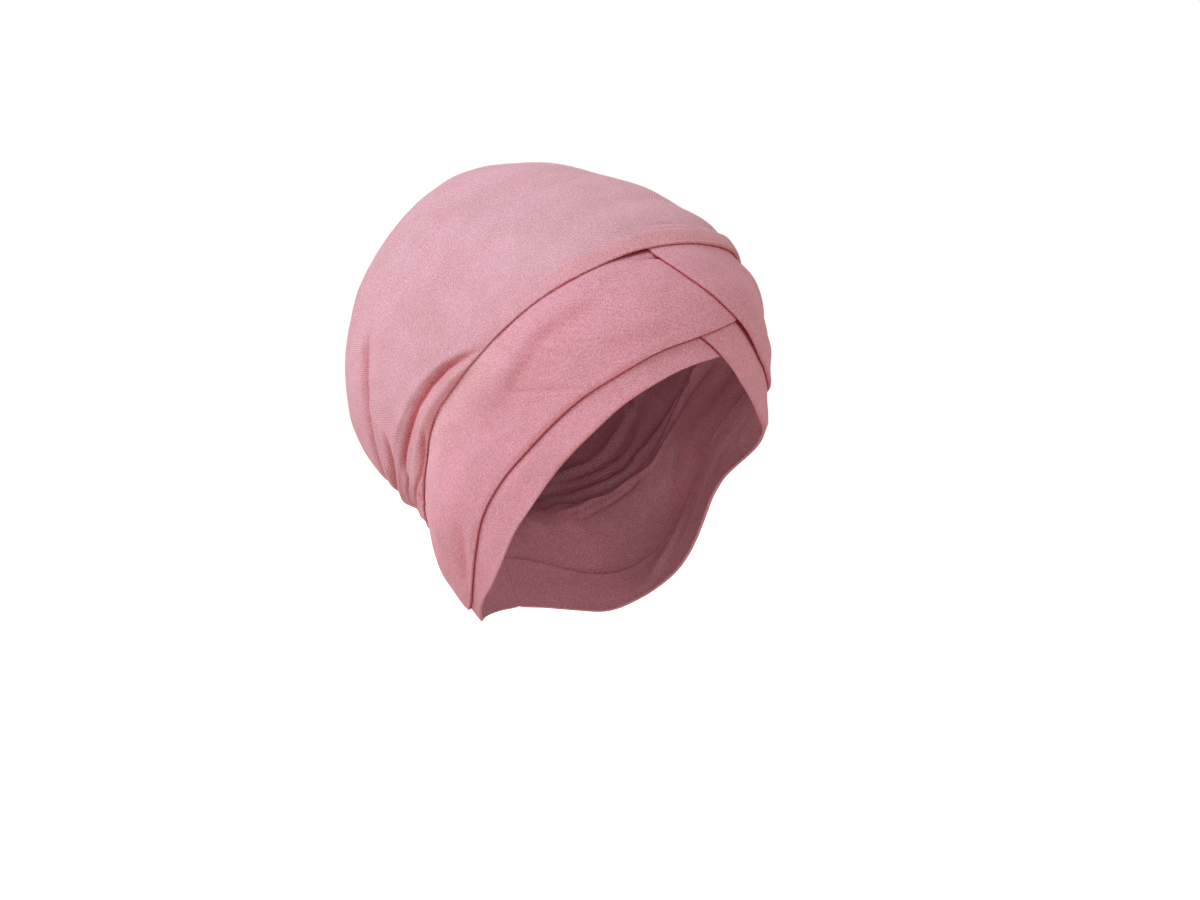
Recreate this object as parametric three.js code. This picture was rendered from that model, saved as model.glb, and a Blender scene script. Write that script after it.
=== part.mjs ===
// Criss-cross jersey under-cap in its worn shape: a baggy crown over four crossing bands.
// Millimetres, +Z up. The wearer faces -Y, so the wearer's right side is -X.
// The origin is the middle of the wearer's head, level with the brow.
//
// Every piece is a thin wall laid on one soft form: the head, with the hair held in a bag behind it.
// A place on the form is named by two angles, in degrees, seen from the middle of the bag:
//   turn   0 over the brow, 90 at the wearer's left ear, 180 at the nape, negative on the right
//   drop   0 at the tip of the bag, about 85 at the crown's edge, 110 to 134 at the cap's rim
// A band uses "round" instead of turn: the angle from the brow towards the band's own side.
import * as THREE from "three";

// The form.
const BAG_MIDDLE = new THREE.Vector3(0, 20, -30);
const BAG_LEAN = 43; // the bag's axis leans back from upright, degrees
const FORM = [ // distance from the middle of the bag to the form, mm
  { drop: 0, front: 173, frontSide: 173, side: 173, backSide: 173, back: 173 },
  { drop: 20, front: 154, frontSide: 156, side: 162, backSide: 166, back: 168 },
  { drop: 40, front: 135, frontSide: 131, side: 141, backSide: 159, back: 164 },
  { drop: 60, front: 127, frontSide: 117, side: 116, backSide: 143, back: 155 },
  { drop: 75, front: 123, frontSide: 111, side: 99, backSide: 124, back: 134 },
  { drop: 84, front: 121, frontSide: 108, side: 91, backSide: 112, back: 118 },
  { drop: 92, front: 121, frontSide: 108, side: 86, backSide: 110, back: 119 },
  { drop: 105, front: 120, frontSide: 100, side: 82, backSide: 117, back: 133 },
  { drop: 120, front: 115, frontSide: 98, side: 84, backSide: 119, back: 148 },
  { drop: 135, front: 112, frontSide: 104, side: 88, backSide: 121, back: 150 },
];

// The cloth.
const BAND_WALL = 1.6; // a folded band of jersey, mm
const CROWN_WALL = 1.2; // the single layer of the crown, mm
const HEM_WALL = 2.4; // the crown's turned-under edge, mm
const PLY_GAP = 0.65; // air between one piece and the next, mm
const PLY = BAND_WALL + PLY_GAP; // how far one band lifts what lies over it
const HEM = 5.5; // width of the hem, degrees of drop, about 11 mm
const HEM_STEP = 0.8; // degrees of drop over which the hem thins to the single layer
const EASE = 13; // degrees over which a piece eases down past the edge of what is under it
const EASE_MARGIN = 3; // and degrees past that edge before it starts
const CROSSING = { from: 5, to: 35 }; // round angles between which the crossing bands settle side by side
const UNDER_CROWN = 7; // degrees that an upper band runs up under the crown
const UNDER_BAND = 8; // degrees that a lower band runs up under an upper one
const NAPE_SEAM = 0.09; // degrees left open between a band's end and the centre of the nape

const CROWN_EDGE = [
  { round: 0, drop: 86.6 },
  { round: 20, drop: 86.8 },
  { round: 38, drop: 86 },
  { round: 54, drop: 84.5 },
  { round: 70, drop: 82.6 },
  { round: 82, drop: 81.9 },
  { round: 92, drop: 82 },
  { round: 99, drop: 82.3 },
  { round: 103.4, drop: 83 },
  { round: 110, drop: 85.2 },
  { round: 121, drop: 89.6 },
  { round: 128, drop: 92 },
  { round: 134, drop: 93.6 },
  { round: 140, drop: 94.2 },
  { round: 150, drop: 92 },
  { round: 165, drop: 87.5 },
  { round: 180, drop: 84 },
];

// The last stretch of an upper band's free edge, alike on both sides.
const UPPER_EDGE_BEHIND = [
  { round: 101, drop: 117.7 },
  { round: 117, drop: 117.8 },
  { round: 127, drop: 119.2 },
  { round: 137, drop: 119.7 },
  { round: 147, drop: 118 },
  { round: 154, drop: 114.8 },
  { round: 164, drop: 108.8 },
  { round: 172, drop: 105.4 },
  { round: 180, drop: 104 },
];
const RIM_BEHIND = [
  { round: 103, drop: 131.5 },
  { round: 113, drop: 129.9 },
  { round: 129, drop: 127.7 },
  { round: 137, drop: 125.5 },
  { round: 143, drop: 122.9 },
  { round: 148, drop: 121 },
  { round: 158, drop: 117 },
  { round: 164, drop: 113.2 },
  { round: 172, drop: 110 },
  { round: 180, drop: 108.6 },
];

// The bands. "edge" is the free lower edge, from "start" under the other bands to the nape. "over" is the
// band whose edge covers a lower band's top, "highest" the least drop that this top has, and "under" lists
// the bands that lie beneath.
const BANDS = {
  lower_right_band: {
    side: -1,
    start: -7,
    over: "upper_right_band",
    highest: 106,
    under: [],
    edge: [
      { round: -7, drop: 117 },
      { round: 1, drop: 118.8 },
      { round: 8, drop: 119.9 },
      { round: 16, drop: 121.1 },
      { round: 24, drop: 122.7 },
      { round: 39, drop: 125.7 },
      { round: 49, drop: 128.1 },
      { round: 60, drop: 130.1 },
      { round: 74, drop: 131.7 },
      { round: 89, drop: 132.3 },
      ...RIM_BEHIND,
    ],
  },
  lower_left_band: {
    side: 1,
    start: -18,
    over: "upper_left_band",
    highest: 99,
    under: ["lower_right_band"],
    edge: [
      { round: -18, drop: 104.5 },
      { round: -9.5, drop: 111.5 },
      { round: -1.1, drop: 118.3 },
      { round: 2.9, drop: 121.5 },
      { round: 7.7, drop: 125 },
      { round: 14.4, drop: 128.4 },
      { round: 22.6, drop: 131.9 },
      { round: 45, drop: 134 },
      { round: 80, drop: 134 },
      ...RIM_BEHIND,
    ],
  },
  upper_right_band: {
    side: -1,
    start: -17,
    under: ["lower_right_band", "lower_left_band"],
    edge: [
      { round: -17, drop: 82 },
      { round: -11, drop: 100.5 },
      { round: -5, drop: 109.6 },
      { round: 2, drop: 111.8 },
      { round: 9, drop: 113.3 },
      { round: 20, drop: 114.5 },
      { round: 34, drop: 116.4 },
      { round: 49, drop: 117.5 },
      { round: 60, drop: 118.5 },
      { round: 72, drop: 119.2 },
      { round: 83, drop: 119.1 },
      ...UPPER_EDGE_BEHIND,
    ],
  },
  upper_left_band: {
    side: 1,
    start: -13.5,
    under: ["lower_right_band", "lower_left_band", "upper_right_band"],
    edge: [
      { round: -13.5, drop: 83 },
      { round: -12.4, drop: 87.2 },
      { round: -10.2, drop: 92.6 },
      { round: -8.2, drop: 96 },
      { round: -5.5, drop: 99.6 },
      { round: -2.5, drop: 102.8 },
      { round: 1, drop: 105.9 },
      { round: 5, drop: 109.2 },
      { round: 11, drop: 113.6 },
      { round: 18, drop: 116.4 },
      { round: 26, drop: 117.9 },
      { round: 38, drop: 119 },
      { round: 55, drop: 119.3 },
      { round: 75, drop: 119 },
      ...UPPER_EDGE_BEHIND,
    ],
  },
};

// Creases in the cloth, alike on both sides: a curved line from one place over a bend to another, how far
// it stands out (negative for a valley), and its reach up towards the tip and down towards the rim, mm.
const CREASES = [
  { name: "big fold", from: [62, 84.4], bend: [94, 70], to: [137, 84.6], height: -4, up: 8, down: 3 },
  { name: "roll", from: [74, 82], bend: [96, 77.5], to: [128, 84], height: 1.7, up: 4, down: 5 },
  { name: "roll crease", from: [112, 82.6], bend: [124, 86], to: [138, 90.5], height: -1.6, up: 3, down: 4 },
  { name: "back fold", from: [102, 50.5], bend: [116, 65.5], to: [145, 79], height: -3.2, up: 8, down: 3.5 },
  { name: "middle fold", from: [120, 71], bend: [125, 79], to: [139, 79.4], height: -2, up: 5, down: 3.5 },
  { name: "nape valley", from: [120, 111], bend: [129, 116.5], to: [144, 118], height: -2.2, up: 7, down: 4 },
  { name: "nape ridge", from: [104, 84], bend: [120, 97], to: [138, 110], height: 1.3, up: 6, down: 6 },
  { name: "brow dip", from: [28, 95], bend: [41, 97], to: [55, 97], height: -0.9, up: 8, down: 8 },
];
const CREASE_TAPER = 0.2; // share of a crease's length over which each end fades
const CREASE_STEPS = 16;
const GATHER_FIRST = 128; // round angle of the first gather at the back of the crown, degrees
const GATHER_PITCH = 10.4; // from one gather to the next, degrees
const GATHER_DEPTH = 1.7; // mm
const GATHER_RUN = 14; // length of a gather above the crown's edge, degrees
const GATHER_TAIL = 5; // and of its trace on the band below, degrees

// The grid that every piece shares, so that neighbours keep their gap. Steps along turn, degrees.
const STRIDES = [
  { upTo: 33, step: 3 },
  { upTo: 75, step: 7 },
  { upTo: 113, step: 4.75 },
  { upTo: 180, step: 3.53 },
];
const START_STATIONS = [0, 0.8, 2, 3.6, 5.6]; // extra columns behind a band's start, degrees
const CROWN_ROWS = [0.16, 0.3, 0.42, 0.53, 0.62, 0.7, 0.78, 0.86, 0.93]; // share of the way to the band
const HEM_ROWS = [-UNDER_CROWN, -HEM, HEM_STEP - HEM, -HEM / 2, 0]; // from the crown's edge, degrees
const UPPER_ROWS = [0.33, 0.66]; // share of an upper band's open width
const LOWER_ROWS = [0.25, 0.5, 0.75, 1]; // and of a lower band's
const OVERLAP_ROWS = [0, 0.5, 1]; // and of the strip where the one lies over the other
const ROW_SQUEEZE = 8; // rows keep at least the mean row spacing divided by this

const rad = THREE.MathUtils.degToRad;
const lerp = THREE.MathUtils.lerp;
const ease = (x) => THREE.MathUtils.smoothstep(x, 0, 1);
const AXIS = new THREE.Vector3(0, Math.sin(rad(BAG_LEAN)), Math.cos(rad(BAG_LEAN)));
const FORWARD = new THREE.Vector3(0, -Math.cos(rad(BAG_LEAN)), Math.sin(rad(BAG_LEAN)));
const LEFTWARD = new THREE.Vector3(1, 0, 0);

// A smooth curve through the rows of a table: a cubic between rows, whose slope at each row is the mean
// of the slopes beside it, weighted by nearness.
function along(rows, input, output, x) {
  const slopeAfter = (i) => (rows[i + 1][output] - rows[i][output]) / (rows[i + 1][input] - rows[i][input]);
  const slopeAt = (i) => {
    if (i === 0) return slopeAfter(0);
    if (i === rows.length - 1) return slopeAfter(i - 1);
    const before = rows[i][input] - rows[i - 1][input];
    const after = rows[i + 1][input] - rows[i][input];
    return (slopeAfter(i - 1) * after + slopeAfter(i) * before) / (before + after);
  };
  const at = THREE.MathUtils.clamp(x, rows[0][input], rows.at(-1)[input]);
  let i = 0;
  while (i < rows.length - 2 && at > rows[i + 1][input]) i += 1;
  const width = rows[i + 1][input] - rows[i][input];
  const t = (at - rows[i][input]) / width;
  return (2 * t ** 3 - 3 * t ** 2 + 1) * rows[i][output]
    + (t ** 3 - 2 * t ** 2 + t) * width * slopeAt(i)
    + (3 * t ** 2 - 2 * t ** 3) * rows[i + 1][output]
    + (t ** 3 - t ** 2) * width * slopeAt(i + 1);
}

// Each row of FORM becomes a sum of cosines of the turn that passes through its five columns. A mirrored
// copy of the second row goes before the first, so that the form is smooth over the tip.
function formWaves() {
  const columns = ["front", "frontSide", "side", "backSide", "back"];
  const last = columns.length - 1;
  const half = (k) => (k === 0 || k === last ? 0.5 : 1);
  const waves = FORM.map((row) => {
    const wave = { drop: row.drop };
    for (let k = 0; k <= last; k += 1) {
      const terms = columns.map((column, j) => half(j) * row[column] * Math.cos((Math.PI * j * k) / last));
      wave[k] = (2 / last) * half(k) * terms.reduce((sum, term) => sum + term);
    }
    return wave;
  });
  const mirrored = { drop: -waves[1].drop };
  for (let k = 0; k <= last; k += 1) mirrored[k] = waves[1][k] * (-1) ** k;
  return [mirrored, ...waves];
}
const WAVES = formWaves();

function radius(turn, drop) {
  let sum = 0;
  for (let k = 0; k <= 4; k += 1) sum += along(WAVES, "drop", k, drop) * Math.cos(k * rad(turn));
  return sum;
}

// Unit vectors at a place: out from the middle of the bag, along the drop and along the turn.
function frameAt(turn, drop) {
  const level = FORWARD.clone().multiplyScalar(Math.cos(rad(turn)))
    .addScaledVector(LEFTWARD, Math.sin(rad(turn)));
  const out = AXIS.clone().multiplyScalar(Math.cos(rad(drop))).addScaledVector(level, Math.sin(rad(drop)));
  const down = AXIS.clone().multiplyScalar(-Math.sin(rad(drop))).addScaledVector(level, Math.cos(rad(drop)));
  const around = FORWARD.clone().multiplyScalar(-Math.sin(rad(turn)))
    .addScaledVector(LEFTWARD, Math.cos(rad(turn)));
  return { out, down, around };
}

// The point that lies a height above the form, measured square to its surface.
function onForm(turn, drop, height) {
  const nudge = 0.5;
  const off = Math.max(drop, nudge); // the surface's slope is read just beside the tip
  const { out, down, around } = frameAt(turn, off);
  const r = radius(turn, off);
  const slopeDown = (radius(turn, off + nudge) - radius(turn, off - nudge)) / (2 * rad(nudge) * r);
  const slopeAround = (radius(turn + nudge, off) - radius(turn - nudge, off))
    / (2 * rad(nudge) * r * Math.sin(rad(off)));
  const normal = out.addScaledVector(down, -slopeDown).addScaledVector(around, -slopeAround).normalize();
  return frameAt(turn, drop).out.multiplyScalar(radius(turn, drop)).add(BAG_MIDDLE)
    .addScaledVector(normal, height);
}

const crownEdge = (turn) => along(CROWN_EDGE, "round", "drop", Math.abs(turn));
const bandEdge = (name, round) => along(BANDS[name].edge, "round", "drop", round);
const settled = (round) => ease((round - CROSSING.from) / (CROSSING.to - CROSSING.from));

// The hidden top of a band: a lower band's runs up under its upper band, an upper band's under the crown.
function bandTop(name, round) {
  const { over, highest } = BANDS[name];
  let top = crownEdge(round) - UNDER_CROWN;
  if (over) {
    top = bandEdge(over, round) - UNDER_BAND;
    top = lerp(Math.max(top, highest), top, settled(round));
  }
  return Math.min(top, bandEdge(name, round) - 1);
}

// How far a crease lifts the cloth at a place, mm.
function creaseHeight(crease, round, drop) {
  const reach = radius(round, drop) * rad(1); // mm in a degree
  const squeeze = Math.sin(rad(drop));
  let nearest = { distance: Infinity };
  const point = (t) => [0, 1].map((k) => lerp(
    lerp(crease.from[k], crease.bend[k], t), lerp(crease.bend[k], crease.to[k], t), t));
  for (let step = 0; step < CREASE_STEPS; step += 1) {
    const [turn0, drop0] = point(step / CREASE_STEPS);
    const [turn1, drop1] = point((step + 1) / CREASE_STEPS);
    const run = [(turn1 - turn0) * squeeze, drop1 - drop0];
    const gap = [(round - turn0) * squeeze, drop - drop0];
    const share = THREE.MathUtils.clamp(
      (run[0] * gap[0] + run[1] * gap[1]) / (run[0] ** 2 + run[1] ** 2), 0, 1);
    const distance = reach * Math.hypot(gap[0] - share * run[0], gap[1] - share * run[1]);
    const side = Math.sign(run[0] * gap[1] - run[1] * gap[0]);
    if (distance < nearest.distance) nearest = { distance, side, t: (step + share) / CREASE_STEPS };
  }
  const forwards = Math.sign(crease.to[0] - crease.from[0]);
  const width = nearest.side * forwards > 0 ? crease.down : crease.up;
  const ends = ease(nearest.t / CREASE_TAPER) * ease((1 - nearest.t) / CREASE_TAPER);
  return crease.height * ends * Math.exp(-((nearest.distance / width) ** 2));
}

// Ripples where the back of the crown is drawn in along its edge.
function gatherHeight(round, drop) {
  const edge = crownEdge(round);
  const above = ease((drop - edge + GATHER_RUN) / GATHER_RUN);
  const below = 1 - ease((drop - edge) / GATHER_TAIL);
  const onset = ease((round - GATHER_FIRST) / GATHER_PITCH);
  const ripple = 0.5 - 0.5 * Math.cos((2 * Math.PI * (round - GATHER_FIRST)) / GATHER_PITCH);
  return -GATHER_DEPTH * above * below * onset * ripple;
}

function relief(turn, drop) {
  const round = Math.abs(turn);
  return CREASES.reduce((sum, crease) => sum + creaseHeight(crease, round, drop), gatherHeight(round, drop));
}

// 1 where a band lies, easing to 0 beyond its edges.
function covers(name, turn, drop) {
  const { side, start } = BANDS[name];
  const round = side * turn;
  const inside = Math.max(round, start);
  const slope = (bandEdge(name, inside + 1) - bandEdge(name, inside)) / Math.sin(rad(drop + 1));
  const pastEdge = (drop - bandEdge(name, inside)) / Math.hypot(1, slope);
  const past = [start - round, bandTop(name, inside) - drop, pastEdge];
  return past.reduce((share, distance) => share * ease(1 + (EASE_MARGIN - distance) / EASE), 1);
}

// A closed wall on the form. Columns run along the turn, rows along the drop. A ring closes on itself and
// is closed over the tip; a strip has four cut edges.
function wall({ columns, rows, placeAt, liftAt, thicknessAt, ring }) {
  const corners = [];
  const faces = [];
  const layers = [[], []];
  for (let i = 0; i < columns; i += 1) {
    for (let j = 0; j < rows; j += 1) {
      const { turn, drop } = placeAt(i, j);
      const lift = liftAt(turn, drop) + relief(turn, drop);
      [lift, lift + thicknessAt(turn, drop)].forEach((height, layer) => {
        layers[layer].push(corners.length);
        corners.push(onForm(turn, drop, height));
      });
    }
  }
  const corner = (layer, i, j) => layers[layer][(i % columns) * rows + j];
  const quad = (a, b, c, d) => faces.push([a, b, c], [a, c, d]);
  const across = ring ? columns : columns - 1;
  for (let i = 0; i < across; i += 1) {
    for (let j = 0; j < rows - 1; j += 1) {
      quad(corner(1, i, j), corner(1, i, j + 1), corner(1, i + 1, j + 1), corner(1, i + 1, j));
      quad(corner(0, i, j), corner(0, i + 1, j), corner(0, i + 1, j + 1), corner(0, i, j + 1));
    }
    const low = rows - 1;
    quad(corner(1, i, low), corner(0, i, low), corner(0, i + 1, low), corner(1, i + 1, low));
    if (!ring) quad(corner(1, i, 0), corner(1, i + 1, 0), corner(0, i + 1, 0), corner(0, i, 0));
  }
  if (ring) {
    const tips = [0, 1].map((layer) => {
      const height = liftAt(0, 0) + relief(0, 0) + layer * thicknessAt(0, 0);
      return corners.push(onForm(0, 0, height)) - 1;
    });
    for (let i = 0; i < columns; i += 1) {
      faces.push([tips[1], corner(1, i, 0), corner(1, i + 1, 0)]);
      faces.push([tips[0], corner(0, i + 1, 0), corner(0, i, 0)]);
    }
  } else {
    const end = columns - 1;
    for (let j = 0; j < rows - 1; j += 1) {
      quad(corner(1, 0, j), corner(0, 0, j), corner(0, 0, j + 1), corner(1, 0, j + 1));
      quad(corner(1, end, j), corner(1, end, j + 1), corner(0, end, j + 1), corner(0, end, j));
    }
  }
  const geometry = new THREE.BufferGeometry().setFromPoints(corners);
  geometry.setIndex(faces.flat());
  geometry.computeVertexNormals();
  return geometry;
}

// Round angles of the shared columns, from the brow to the nape.
function stations() {
  const list = [0];
  for (const { upTo, step } of STRIDES) {
    const from = list.at(-1);
    const count = Math.round((upTo - from) / step);
    for (let k = 1; k <= count; k += 1) list.push(from + (k * (upTo - from)) / count);
  }
  return list;
}

// Drops of a band's rows in one column, from its hidden top to its edge. They fall on the rows of what
// covers the band and on those of what it covers.
function bandRows(name, round) {
  const { over } = BANDS[name];
  const top = bandTop(name, round);
  const edge = bandEdge(name, round);
  const between = (from, to, shares) => shares.map((share) => lerp(from, to, share));
  let rows;
  if (over) {
    const cover = bandEdge(over, round);
    rows = [...between(cover - UNDER_BAND, cover, OVERLAP_ROWS), ...between(cover, edge, LOWER_ROWS)];
  } else {
    const cover = crownEdge(round);
    rows = [...HEM_ROWS.map((row) => cover + row), ...between(cover, edge - UNDER_BAND, UPPER_ROWS),
      ...between(edge - UNDER_BAND, edge, OVERLAP_ROWS)];
  }
  const count = rows.length;
  rows = rows.map((row, k) => lerp(lerp(top, edge, k / (count - 1)), row, settled(round)));
  rows[0] = top;
  rows[count - 1] = edge;
  const least = (edge - top) / count / ROW_SQUEEZE;
  for (let k = 1; k < count - 1; k += 1) rows[k] = Math.max(rows[k], rows[k - 1] + least);
  for (let k = count - 2; k > 0; k -= 1) rows[k] = Math.min(rows[k], rows[k + 1] - least);
  return rows;
}

function bandWall(name) {
  const { side, start, under } = BANDS[name];
  const shared = stations();
  const mirrored = shared.filter((station) => station > 0 && station <= STRIDES[0].upTo);
  const clear = start + START_STATIONS.at(-1) + STRIDES[0].step / 2;
  const beyond = [...mirrored.map((station) => -station).reverse(), ...shared];
  const rounds = [...START_STATIONS.map((extra) => start + extra), ...beyond.filter((round) => round > clear)];
  rounds[rounds.length - 1] -= NAPE_SEAM;
  if (side < 0) rounds.reverse();
  const rows = rounds.map((round) => bandRows(name, round));
  return wall({
    columns: rounds.length,
    rows: rows[0].length,
    placeAt: (i, j) => ({ turn: side * rounds[i], drop: rows[i][j] }),
    liftAt: (turn, drop) => under.reduce((sum, below) => sum + PLY * covers(below, turn, drop), 0),
    thicknessAt: () => BAND_WALL,
  });
}

function crownWall() {
  const shared = stations();
  const turns = [...shared.slice(1).map((station) => -station).reverse(), ...shared.slice(0, -1)];
  const rowsAt = (turn) => {
    const edge = crownEdge(turn);
    return [...CROWN_ROWS.map((share) => (edge - UNDER_CROWN) * share), ...HEM_ROWS.map((row) => edge + row)];
  };
  return wall({
    ring: true,
    columns: turns.length,
    rows: rowsAt(0).length,
    placeAt: (i, j) => ({ turn: turns[i], drop: rowsAt(turns[i])[j] }),
    liftAt: (turn, drop) => Object.keys(BANDS).reduce((sum, name) => sum + PLY * covers(name, turn, drop), 0),
    thicknessAt: (turn, drop) => lerp(CROWN_WALL, HEM_WALL, ease((drop - crownEdge(turn) + HEM) / HEM_STEP)),
  });
}

function piece(name, geometry, colour) {
  const material = new THREE.MeshStandardMaterial({ color: colour, roughness: 0.92, metalness: 0 });
  const mesh = new THREE.Mesh(geometry, material);
  mesh.name = name;
  return mesh;
}

const cap = new THREE.Group();
cap.add(piece("crown", crownWall(), 0xdba8b2));
for (const name of Object.keys(BANDS)) cap.add(piece(name, bandWall(name), 0xcf929f));
export default cap;
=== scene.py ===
import math
from typing import NamedTuple

import bpy
import numpy as np
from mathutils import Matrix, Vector


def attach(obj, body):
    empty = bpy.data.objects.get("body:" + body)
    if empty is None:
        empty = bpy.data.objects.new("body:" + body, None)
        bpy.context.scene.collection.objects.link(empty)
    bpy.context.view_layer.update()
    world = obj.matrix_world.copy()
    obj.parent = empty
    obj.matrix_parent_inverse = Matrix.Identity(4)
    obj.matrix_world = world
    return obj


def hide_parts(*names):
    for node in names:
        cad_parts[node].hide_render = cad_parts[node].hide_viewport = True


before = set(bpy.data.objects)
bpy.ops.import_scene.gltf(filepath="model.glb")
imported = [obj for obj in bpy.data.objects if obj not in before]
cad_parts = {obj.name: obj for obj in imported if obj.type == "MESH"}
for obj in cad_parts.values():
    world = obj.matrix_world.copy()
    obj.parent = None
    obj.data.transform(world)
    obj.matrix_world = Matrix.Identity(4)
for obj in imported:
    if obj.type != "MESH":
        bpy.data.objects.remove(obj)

bl_info = {
    "name": "Jersey Under-cap",
    "version": (1, 0, 0),
    "blender": (4, 2, 0),
    "location": "View3D > Sidebar > Under-cap",
    "description": "A slouchy jersey under-cap with a criss-cross banded front, as it sits on a head",
    "category": "Add Mesh",
}

# Lengths are millimetres and angles degrees, unless a name or a property says otherwise. A mesh is
# scaled to metres when it is made.
# Every piece is a thin wall laid on one soft form, the head with the hair in a bag behind it.
# A place on the form has a turn (0 over the brow, 90 at the wearer's left ear, 180 at the nape,
# negative on the right) and a drop (0 at the bag's tip, about 85 at the crown's edge, up to 134 at
# the rim). "round" is the turn counted from the brow towards a band's own side.
MM = 0.001
BAG_MIDDLE = np.array([0.0, 20.0, -30.0])
BAG_LEAN = 43.0
# drop, then the distance from the bag's middle at the front, front side, side, back side and back
FORM = np.array([
    [0, 173, 173, 173, 173, 173],
    [20, 154, 156, 162, 166, 168],
    [40, 135, 131, 141, 159, 164],
    [60, 127, 117, 116, 143, 155],
    [75, 123, 111, 99, 124, 134],
    [84, 121, 108, 91, 112, 118],
    [92, 121, 108, 86, 110, 119],
    [105, 120, 100, 82, 117, 133],
    [120, 115, 98, 84, 119, 148],
    [135, 112, 104, 88, 121, 150],
], float)

AIR = 0.3  # between one piece and the next
PRESS = 0.1  # how far the crown's edge presses into the bands
SETTLE_RUN = 2.0  # degrees over which a free edge comes down onto what is under it
EASE = 13.0  # degrees over which a piece settles past the edge of what is under it
EASE_MARGIN = 2.0  # and degrees past that edge before it starts
CROSSING = (5.0, 35.0)  # round angles between which the crossing bands settle side by side
UNDER_CROWN = 7.0  # degrees that an upper band runs up under the crown
UNDER_BAND = 8.0  # degrees that a lower band runs up under an upper one
NAPE_SEAM = -0.03  # degrees from a band's end to the centre of the nape: the sewn ends just cross
NAPE_GROOVE = (0.7, 1.5)  # depth and reach of the groove along the nape seam, mm
NAPE_SHADE = (0.7, 0.6)  # strength and reach of the painted shade line in it, mm
EDGE_ROLL = (0.3, 3.0)  # how far a band's free edge puffs out, and its reach, mm

# round, drop
CROWN_EDGE = np.array([
    [0, 86.6], [20, 86.8], [38, 86], [54, 84.5], [70, 82.6], [82, 81.9], [92, 82], [99, 82.3],
    [103.4, 83], [110, 85.1], [121, 89.3], [128, 91.5], [134, 92.9], [140, 93.5], [150, 91.6],
    [165, 87.5], [180, 84],
], float)
# The crown's edge is drawn a little higher over the left brow than over the right: turn, drop.
CROWN_SKEW = np.array([
    [-180, 0], [-30, 0], [-12, 0], [0, -0.4], [8, -1.1], [15, -2.2], [22, -3.6], [30, -4.6],
    [40, -4.4], [55, -2], [70, 0], [180, 0],
], float)
# The crown's hem thins to the single layer over this many degrees at the brow and at the sides.
HEM_STEP = (0.6, 3.0)
HEM_STEP_TURNS = (12.0, 37.0)  # turns between which the one changes to the other
HEM_STAND = (1.8, 20.0, 13.0)  # how far the hem stands up, at which turn, and its reach in degrees
UPPER_EDGE_BEHIND = [
    [101, 117.7], [117, 117.8], [127, 119.2], [137, 119.7], [147, 118], [154, 114.8], [164, 108.8],
    [172, 105.4], [180, 104],
]
RIM_BEHIND = [
    [103, 131.5], [113, 129.9], [129, 127.7], [137, 125.5], [143, 122.9], [148, 121], [158, 117],
    [164, 113.2], [172, 110], [180, 108.6],
]
# "edge" is the free lower edge (round, drop) from "start", under the other bands, to the nape.
# "over" covers a lower band's top, "highest" is the least drop of that top, "under" lies beneath.
BANDS = {
    "lower_right_band": {
        "side": -1, "start": -7.0, "over": "upper_right_band", "highest": 106.0, "under": [],
        "edge": [[-7, 117], [1, 118.8], [8, 119.9], [16, 121.1], [24, 122.7], [39, 125.7], [49, 128.1],
                 [60, 130.1], [74, 131.7], [89, 132.3]] + RIM_BEHIND,
    },
    "lower_left_band": {
        "side": 1, "start": -18.0, "over": "upper_left_band", "highest": 99.0,
        "under": ["lower_right_band"],
        "edge": [[-18, 104.5], [-9.5, 111.5], [-1.1, 118.3], [2.9, 121.5], [7.7, 125], [14.4, 128.4],
                 [22.6, 131.9], [45, 134], [80, 134]] + RIM_BEHIND,
    },
    "upper_right_band": {
        "side": -1, "start": -17.0, "over": None, "highest": None,
        "under": ["lower_right_band", "lower_left_band"],
        "edge": [[-17, 103.6], [-12, 106.4], [-8, 108.2], [-5, 109.4], [2, 111.8], [9, 113.3],
                 [20, 114.5], [34, 116.4], [49, 117.5], [60, 118.5], [72, 119.2],
                 [83, 119.1]] + UPPER_EDGE_BEHIND,
    },
    "upper_left_band": {
        "side": 1, "start": -13.5, "over": None, "highest": None,
        "under": ["lower_right_band", "lower_left_band", "upper_right_band"],
        "edge": [[-13.5, 83], [-12.4, 87.2], [-10.2, 92.6], [-8.2, 96], [-5.5, 99.6], [-2.5, 102.8],
                 [1, 105.9], [5, 109.2], [11, 113.6], [18, 116.4], [26, 117.9], [38, 119], [55, 119.3],
                 [75, 119]] + UPPER_EDGE_BEHIND,
    },
}
for band in BANDS.values():
    band["edge"] = np.array(band["edge"], float)


class Crease(NamedTuple):
    """A bump or valley along a line on the form."""
    line: list  # (round, drop), or (turn, drop) where it lies on one side alone
    height: float  # how far it stands out, negative for a valley
    up: float  # its reach towards the tip, mm
    down: float  # and towards the rim
    fade_in: float  # the share of its length over which its start fades
    fade_out: float  # and its end
    fold_shade: float = 0.0  # how much painted shade reddens and darkens the cloth along it
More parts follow.
